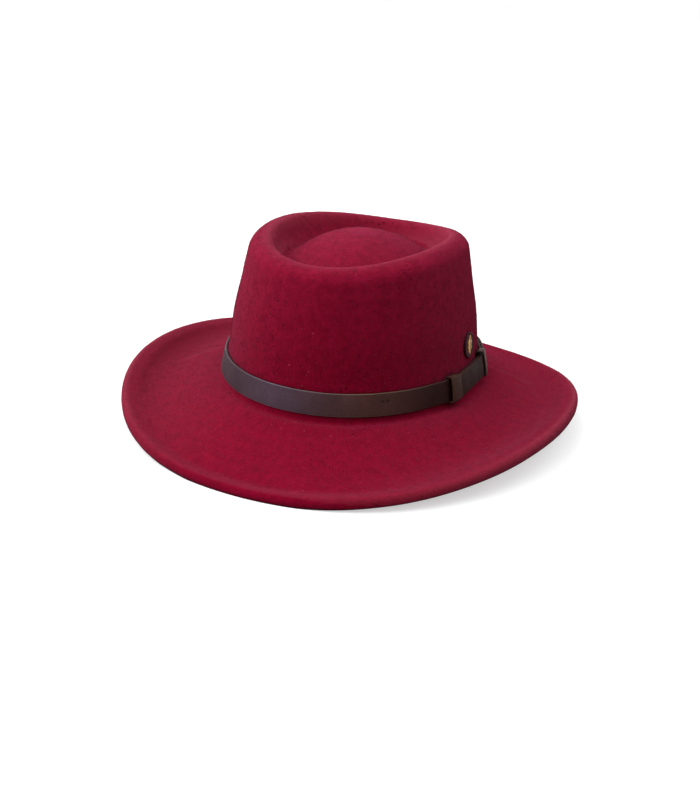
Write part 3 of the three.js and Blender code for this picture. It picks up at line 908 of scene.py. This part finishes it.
def leaf_edge(grow, count):
    """Points round the leaf's edge in mm, turning left from its foot, grown outward."""
    half = LEAF["long"] / 2 + grow
    side = LEAF["wide"] / 2 + grow
    turn = np.linspace(-np.pi / 2, 1.5 * np.pi, count, endpoint=False)
    height = half * np.sin(turn)
    width = side * (1 - (height / half) ** 2) * np.sign(np.round(np.cos(turn), 9))
    lean = math.radians(LEAF["lean"])
    return np.stack([width * math.cos(lean) - height * math.sin(lean),
                     width * math.sin(lean) + height * math.cos(lean)], axis=1)


def turned_rings(profile, count):
    """Rings of points about the badge's z axis through a profile of radius and height."""
    turn = np.linspace(0, FULL_TURN, count, endpoint=False)
    return [[(r * math.cos(t), r * math.sin(t), z) for t in turn] for r, z in profile]


def badge_plate_object(sizes, colours):
    """Plate with a beaded rim, its post through the felt and the clutch disc inside, and the ribbed leaf."""
    radius = sizes.badge_radius / MM
    inside = -sizes.felt / MM - 2 * GAP
    disc, post, thick = BADGE["disc"], BADGE["post"], BADGE["disc_thick"]
    low, top, rim = GAP, BADGE["rim_top"], BADGE["rim_wide"]
    # Radius and height, from the disc's back along the post to the rim and the floor inside it.
    profile = [
        (disc * 0.3, inside - thick), (disc - 0.25, inside - thick), (disc, inside - 0.55),
        (disc, inside - 0.2), (disc - 0.25, inside), (post, inside), (post, low), (radius - 0.2, low),
        (radius, low + 0.2), (radius, top - 0.3), (radius - 0.12, top - 0.08), (radius - 0.35, top),
        (radius - rim + 0.12, top - 0.05), (radius - rim, top - 0.2), (radius - rim, low + BADGE["floor"]),
        (disc * 0.3, low + BADGE["floor"]),
    ]
    points, faces, kinds = [], [], []
    add_loops(points, faces, kinds, turned_rings(profile, PLATE_FACETS), 0, capped=True)
    leaf = leaf_rings()
    add_loops(points, faces, kinds, leaf, 1, capped=True)
    # The groove down the leaf's middle is as dark as the plate.
    groove = len(leaf[0]) + 2
    kinds[-groove:] = [0] * groove
    dark = brass_finish("badge_plate", colours.plate, 0.42, 0.06)
    plate = mesh_object("badge_base_metal", on_badge(points), faces, dark)
    paint(plate, [brass_finish("badge_leaf", colours.brass, 0.3)], kinds)
    return plate


def leaf_rings():
    """Rings from the leaf's back to its ribbed, gently domed front."""
    edge = leaf_edge(0, LEAF_FACETS)
    back = GAP + BADGE["floor"] * LEAF["back"]
    rings = []
    spine = math.radians(LEAF["lean"])
    for shrink, height in ((1, back), *((share, LEAF["top"] + rise) for share, rise in LEAF_STEPS)):
        ring = []
        for x, y in edge:
            along = -x * math.sin(spine) + y * math.cos(spine)
            across = x * math.cos(spine) + y * math.sin(spine)
            across *= 1 - LEAF["notch"] * math.cos(along / LEAF["lobe"] * FULL_TURN) ** 2
            slant = along + abs(across) * shrink * LEAF["vein_lean"]
            vein = LEAF["vein"] * math.cos(slant * LEAF["vein_rate"])
            wide, long = across * shrink, 0.9 + 0.1 * shrink
            ring.append((wide * math.cos(spine) - along * math.sin(spine) * long,
                         wide * math.sin(spine) + along * math.cos(spine) * long,
                         height + vein * (0.25 < shrink < 0.95)))
        rings.append(ring)
    return rings


def badge_enamel_object(sizes, colours):
    """Enamel poured between the rim and the leaf, drawn up a little at both edges."""
    outer = sizes.badge_radius / MM - BADGE["rim_wide"] - GAP
    low, top = GAP + ENAMEL["low"], GAP + ENAMEL["top"]
    turn = np.linspace(-np.pi / 2, 1.5 * np.pi, ENAMEL_FACETS, endpoint=False)
    leaf = leaf_edge(GAP, ENAMEL_FACETS)
    circle = outer * np.stack([np.cos(turn), np.sin(turn)], axis=1)
    rings = []
    for share, height in ((0, low), *((share, top - dip) for share, dip in ENAMEL_DIPS), (1, low)):
        ring = leaf + (circle - leaf) * share
        rings.append([(x, y, height) for x, y in ring])
    points, faces, kinds = [], [], []
    add_loops(points, faces, kinds, rings, 0, capped=False)
    return mesh_object("badge_enamel_fill", on_badge(points), faces, enamel_finish(colours))


# Nap


def felt_grid(low, high, around):
    """The felt's outer face between two shares of its rows, as rows and columns of points in metres."""
    felt = bpy.data.objects["felt_body_felt"].data
    points = np.empty(len(felt.vertices) * 3)
    felt.vertices.foreach_get("co", points)
    first, last = int(low * FELT_ROWS["outer"]), int(high * FELT_ROWS["outer"])
    return points[first * around * 3:last * around * 3].reshape(last - first, around, 3)


def fibre_corners(grid, count, random):
    """The five corners of each fibre: root, three round its middle and tip; and which fibres are coarse."""
    around = grid.shape[1]
    across = np.roll(grid, -1, axis=1)
    area = np.linalg.norm(np.cross(grid[1:] - grid[:-1], (across - grid)[:-1]), axis=2).ravel()
    chosen = random.choice(len(area), count, p=area / area.sum())
    row, column = chosen // around, chosen % around
    u, v = random.random((2, count, 1))
    here, down, beside = grid[row, column], grid[row + 1, column], across[row, column]
    root = here + (down - here) * u + (beside - here) * v
    normal = unit(np.cross(down - here, beside - here))
    along = unit(beside - here)
    side = np.cross(normal, along)
    each = (count, 1)
    turn = random.normal(0, FIBRES["stray"], each)
    run = along * np.cos(turn) + side * np.sin(turn)
    coarse = random.random(each) < FIBRES["coarse"]
    length = random.uniform(*FIBRES["length"], each) * np.where(coarse, FIBRES["longer"], 1) * MM
    radius = random.uniform(*FIBRES["radius"], each) * np.where(coarse, FIBRES["thicker"], 1) * MM
    lift = random.uniform(*FIBRES["lift"], each)
    curl = random.normal(0, FIBRES["curl"], each)
    width = np.cross(run, normal)
    middle = root + (run * 0.5 + width * curl * 0.5 + normal * lift * 0.6) * length + normal * radius
    tip = root + (run + normal * lift) * length + normal * radius
    root = root - normal * radius
    waist = [middle + (width * math.cos(turn) + normal * math.sin(turn)) * radius
             for turn in (0, FULL_TURN / 3, 2 * FULL_TURN / 3)]
    corners = np.stack([root, *waist, tip], axis=1)
    corners[..., 2] = np.maximum(corners[..., 2], 0)
    return corners, coarse.ravel()


def nap_object(name, seed, low, high, sizes, colours):
    """Short wool fibres that lie on the felt between two shares of its profile, brushed round the hat."""
    random = np.random.default_rng(seed)
    corners, coarse = fibre_corners(felt_grid(low, high, sizes.around), sizes.fibres, random)
    faces = (np.arange(sizes.fibres)[:, None, None] * corners.shape[1] + FIBRE_FACES).reshape(-1)
    mesh = bpy.data.meshes.new(name)
    mesh.vertices.add(corners.size // 3)
    mesh.vertices.foreach_set("co", corners.ravel())
    mesh.loops.add(len(faces))
    mesh.loops.foreach_set("vertex_index", faces)
    mesh.polygons.add(len(faces) // 3)
    mesh.polygons.foreach_set("loop_start", np.arange(0, len(faces), 3))
    # Fine fibres have the first finish, and coarse ones the second or the third.
    kinds = np.repeat(coarse * random.integers(1, 3, sizes.fibres), len(FIBRE_FACES))
    mesh.update(calc_edges=True)
    mesh.validate()
    mesh.shade_smooth()
    nap = bpy.data.objects.new(name, mesh)
    bpy.context.scene.collection.objects.link(nap)
    finishes = (fibre_finish("fibre", colours.felt, 1.15), fibre_finish("fibre_pale", colours.fibre_pale, 1),
                fibre_finish("fibre_dark", colours.felt, 0.25))
    paint(nap, finishes, kinds)
    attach(nap, "root")
    return nap


# Stage


def make_floor(stage):
    floor = Finish("floor")
    tone = tuple(stage.floor)
    soft = floor.noise(0.4, detail=2)
    floor.feed(Base_Color=floor.coat(tint(tone, 0.985), (floor.span(soft, 0.3, 0.7), tone)), Roughness=0.8)
    floor.feed(Emission_Color=WHITE, Emission_Strength=stage.floor_glow)
    corners = [(x * FLOOR_HALF, y * FLOOR_HALF, 0) for x, y in ((-1, -1), (1, -1), (1, 1), (-1, 1))]
    floor_object = mesh_object("floor", corners, [(0, 1, 2, 3)], floor.material, smooth=False)
    floor_object.visible_diffuse = False


def photo_direction(azimuth, elevation):
    """A direction from degrees to the left of the photograph's right side, and degrees above the floor."""
    turn, rise = math.radians(azimuth + PHOTO_CAMERA["azimuth"]), math.radians(elevation)
    return Vector((math.cos(turn) * math.cos(rise), math.sin(turn) * math.cos(rise), math.sin(rise)))


def make_light(scene, stage):
    """A soft sky: each soft box is a smooth glow round one direction."""
    world = bpy.data.worlds.new("studio")
    scene.world = world
    world.use_nodes = True
    tree = world.node_tree
    place = add_node(tree, "ShaderNodeTexCoord").outputs["Generated"]
    total = stage.sky
    for key, (azimuth, elevation, spread) in SOFT_BOXES.items():
        middle, edge = photo_direction(azimuth, elevation), math.cos(math.radians(spread))
        toward = add_node(tree, "ShaderNodeVectorMath", {0: place, 1: middle}, operation="DOT_PRODUCT")
        glow = add_node(tree, "ShaderNodeMapRange", {"Value": toward.outputs["Value"], "From Min": edge},
                        interpolation_type="SMOOTHERSTEP")
        inputs = {0: glow.outputs["Result"], 1: getattr(stage, key), 2: total}
        total = add_node(tree, "ShaderNodeMath", inputs, operation="MULTIPLY_ADD").outputs[0]
    # Past the floor's edge the studio is plain and pale.
    seen = add_node(tree, "ShaderNodeLightPath").outputs["Is Camera Ray"]
    strength = add_node(tree, "ShaderNodeMix", {"Factor": seen, "A": total, "B": 1}).outputs["Result"]
    backdrop = tree.nodes["Background"]
    fill(tree, backdrop.inputs["Color"], WHITE)
    fill(tree, backdrop.inputs["Strength"], strength)


def make_camera(scene):
    """The camera of the photograph, turned and moved with the hat to its place of rest."""
    shot = PHOTO_CAMERA
    azimuth, elevation, roll = (math.radians(shot[key]) for key in ("azimuth", "elevation", "roll"))
    back = Vector((math.sin(azimuth) * math.cos(elevation), -math.cos(azimuth) * math.cos(elevation),
                   math.sin(elevation)))
    level_right = Vector((math.cos(azimuth), math.sin(azimuth), 0))
    level_up = back.cross(level_right)
    right = level_right * math.cos(roll) + level_up * math.sin(roll)
    up = level_up * math.cos(roll) - level_right * math.sin(roll)
    place = right * shot["aim_right"] + Vector((0, 0, shot["aim_up"])) + back * shot["distance"]
    world = REST @ Matrix.Translation(place) @ Matrix((right, up, back)).transposed().to_4x4()
    world.translation *= MM
    camera = bpy.data.objects.new("camera", bpy.data.cameras.new("camera"))
    camera.data.sensor_width = SENSOR_MM
    camera.data.lens = FOCAL_PIXELS * SENSOR_MM / LONG_SIDE_PIXELS
    camera.data.clip_start = NEAREST_SEEN
    camera.matrix_world = world
    scene.collection.objects.link(camera)
    scene.camera = camera


# Operators and panel


class HatOperator(Operator):
    """Shared part of the hat's operators"""

    bl_options = {"REGISTER", "UNDO"}


class HAT_OT_felt(HatOperator):
    """Shape the felt crown and brim in one piece"""

    bl_idname = "hat.felt"
    bl_label = "Felt body"

    def execute(self, context):
        scene = context.scene
        dress(felt_object(scene.hat_sizes, scene.hat_colours), "felt_body")
        return {"FINISHED"}


class HAT_OT_strap(HatOperator):
    """Wrap the leather strap round the crown"""

    bl_idname = "hat.strap"
    bl_label = "Leather strap"

    def execute(self, context):
        scene = context.scene
        dress(strap_object(scene.hat_sizes, scene.hat_colours), "hat_band")
        return {"FINISHED"}


class HAT_OT_keepers(HatOperator):
    """Put the two keepers round the lapped strap"""

    bl_idname = "hat.keepers"
    bl_label = "Keepers"

    def execute(self, context):
        scene = context.scene
        for name in KEEPERS:
            dress(keeper_object(name, scene.hat_sizes, scene.hat_colours), name)
        return {"FINISHED"}


class HAT_OT_stitches(HatOperator):
    """Sew the tack stitches of the strap and keepers"""

    bl_idname = "hat.stitches"
    bl_label = "Tack stitches"

    def execute(self, context):
        for name, places in (("strap_stitch", STRAP_STITCHES), ("keeper_stitches", KEEPER_STITCHES)):
            stitch = stitch_object(name, places, context.scene.hat_colours)
            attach(stitch, "root")
        return {"FINISHED"}


class HAT_OT_badge(HatOperator):
    """Make the badge's metal and enamel"""

    bl_idname = "hat.badge"
    bl_label = "Pin badge"

    def execute(self, context):
        scene = context.scene
        dress(badge_plate_object(scene.hat_sizes, scene.hat_colours), "badge_base")
        dress(badge_enamel_object(scene.hat_sizes, scene.hat_colours), "badge_enamel")
        return {"FINISHED"}


class HAT_OT_nap(HatOperator):
    """Lay the nap's loose fibres on the felt's outer face"""

    bl_idname = "hat.nap"
    bl_label = "Felt nap"

    def execute(self, context):
        sizes, colours = context.scene.hat_sizes, context.scene.hat_colours
        for seed, (name, (low, high)) in enumerate(NAP_PATCHES.items(), 1):
            nap_object(name, seed, low, high, sizes, colours)
        return {"FINISHED"}


class HAT_OT_stage(HatOperator):
    """Lay the pale floor, light it softly and set the camera at the photograph's angle"""

    bl_idname = "hat.stage"
    bl_label = "Stage"

    def execute(self, context):
        scene = context.scene
        make_floor(scene.hat_stage)
        make_light(scene, scene.hat_stage)
        make_camera(scene)
        return {"FINISHED"}


class HAT_PT_panel(Panel):
    """Lists the hat's pieces and sizes"""

    bl_label = "Gambler hat"
    bl_idname = "HAT_PT_panel"
    bl_space_type = "VIEW_3D"
    bl_region_type = "UI"
    bl_category = "Hat"

    def draw(self, context):
        for operator in PIECES:
            self.layout.operator(operator.bl_idname)
        for group in GROUPS:
            settings = getattr(context.scene, group)
            for key in settings.__annotations__:
                self.layout.prop(settings, key)


GROUPS = {"hat_sizes": HatSizes, "hat_colours": HatColours, "hat_stage": StageLook}
PIECES = (HAT_OT_felt, HAT_OT_nap, HAT_OT_strap, HAT_OT_keepers, HAT_OT_stitches, HAT_OT_badge, HAT_OT_stage)


def register():
    for kind in (*GROUPS.values(), *PIECES, HAT_PT_panel):
        bpy.utils.register_class(kind)
    for name, group in GROUPS.items():
        setattr(bpy.types.Scene, name, PointerProperty(type=group))


def unregister():
    for name in GROUPS:
        delattr(bpy.types.Scene, name)
    for kind in reversed((*GROUPS.values(), *PIECES, HAT_PT_panel)):
        bpy.utils.unregister_class(kind)


def main():
    register()
    bpy.context.scene.view_settings.view_transform = "Standard"
    bpy.ops.hat.stage()
    bpy.ops.hat.felt()
    bpy.ops.hat.nap()
    bpy.ops.hat.strap()
    bpy.ops.hat.keepers()
    bpy.ops.hat.stitches()
    bpy.ops.hat.badge()


if __name__ == "__main__":
    main()
